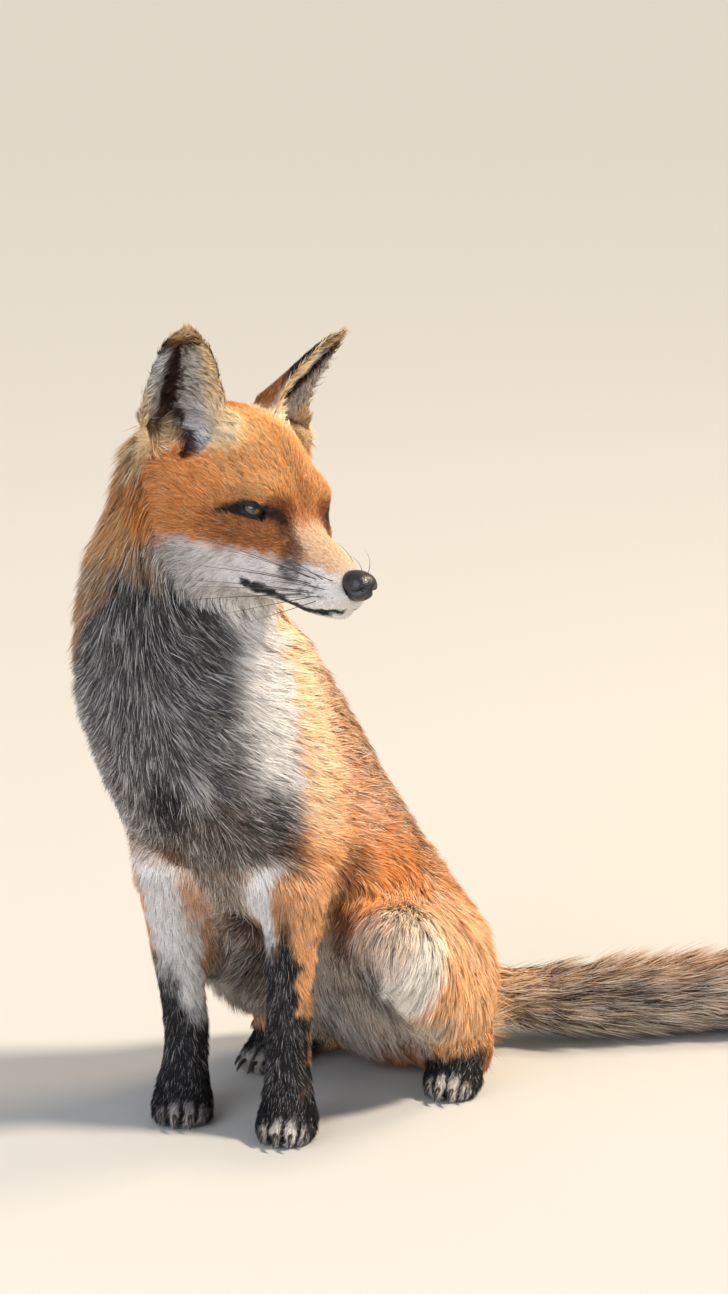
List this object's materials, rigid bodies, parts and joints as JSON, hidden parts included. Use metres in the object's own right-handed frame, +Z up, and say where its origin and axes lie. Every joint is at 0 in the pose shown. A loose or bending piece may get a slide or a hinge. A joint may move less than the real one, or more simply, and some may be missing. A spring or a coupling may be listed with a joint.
{
  "type": "red fox, sitting",
  "caption": "A life-size red fox sitting upright on its haunches, head turned to its left, ears up, black forelegs straight, full tail laid along the floor.",
  "frame": {"origin": "centre of the bounding box's floor face", "axes": "+Z up, +X towards the fox's left side, -Y the way its chest faces"},
  "size_m": [0.4664, 0.5172, 0.576],
  "materials": {
    "coat": "thick fur of guard hairs over underfur: orange, cream, grey-brown and black",
    "ears": "short velvety black fur behind, long pale hairs inside",
    "nose_leather": "moist black pebbled skin",
    "eyes": "wet amber eye with a dark pupil"
  },
  "bodies": {
    "root": {"jaw": "coat", "head": "coat", "neck": "coat", "chest": "coat", "belly": "coat", "rump": "coat", "forepaw_left": "coat", "forepaw_right": "coat", "foreleg_left": "coat", "foreleg_right": "coat", "hindfoot_left": "coat", "hindfoot_right": "coat", "thigh_left": "coat", "thigh_right": "coat", "tail_tip": "coat", "tail_middle": "coat", "tail_root": "coat", "ear_right": "ears", "ear_left": "ears", "nose": "nose_leather", "eye_right": "eyes", "eye_left": "eyes"}
  },
  "joints": []
}
